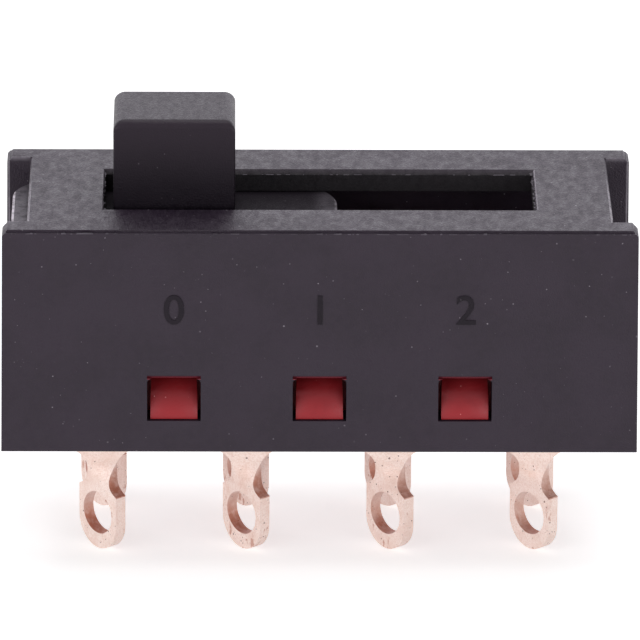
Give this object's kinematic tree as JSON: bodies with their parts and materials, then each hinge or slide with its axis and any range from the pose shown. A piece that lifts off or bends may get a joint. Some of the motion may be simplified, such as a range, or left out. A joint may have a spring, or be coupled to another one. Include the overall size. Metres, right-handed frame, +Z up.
{
  "type": "slide switch",
  "caption": "Moulded slide switch: a block knob in a long deck slot, open end channels, a snap-in red base showing in side windows, and rows of twisted solder lugs with round eyes.",
  "frame": {"origin": "middle of the body's outline in plan, at the level of the lug tips", "axes": "+X along the slider's travel away from its left stop, +Y away from the front face, +Z up through the knob"},
  "size_m": [0.035, 0.014, 0.0249],
  "materials": {
    "housing_black": "fine matte moulding",
    "slider_black": "fine matte moulding",
    "base_red": "satin moulding",
    "terminal_copper": "dull plated copper alloy",
    "bridge_copper": "bare copper alloy",
    "contact_silver": "satin silver",
    "spring_steel": "drawn wire",
    "ball_steel": "polished ball"
  },
  "bodies": {
    "body": {"housing": "housing_black", "terminal_base": "base_red", "terminal_front_1": "terminal_copper", "terminal_front_2": "terminal_copper", "terminal_front_3": "terminal_copper", "terminal_front_4": "terminal_copper", "terminal_rear_1": "terminal_copper", "terminal_rear_2": "terminal_copper", "terminal_rear_3": "terminal_copper", "terminal_rear_4": "terminal_copper", "fixed_contact_front_1": "contact_silver", "fixed_contact_front_2": "contact_silver", "fixed_contact_front_3": "contact_silver", "fixed_contact_front_4": "contact_silver", "fixed_contact_rear_1": "contact_silver", "fixed_contact_rear_2": "contact_silver", "fixed_contact_rear_3": "contact_silver", "fixed_contact_rear_4": "contact_silver"},
    "slider": {"slider": "slider_black", "moving_contact_front": "bridge_copper", "moving_contact_rear": "bridge_copper", "contact_spring_front": "spring_steel", "contact_spring_rear": "spring_steel", "detent_ball": "ball_steel", "detent_spring": "spring_steel"}
  },
  "joints": [
    {"name": "slider_travel", "type": "slide", "parent": "body", "child": "slider", "axis": [1, 0, 0], "range_m": [0, 0.016]}
  ]
}
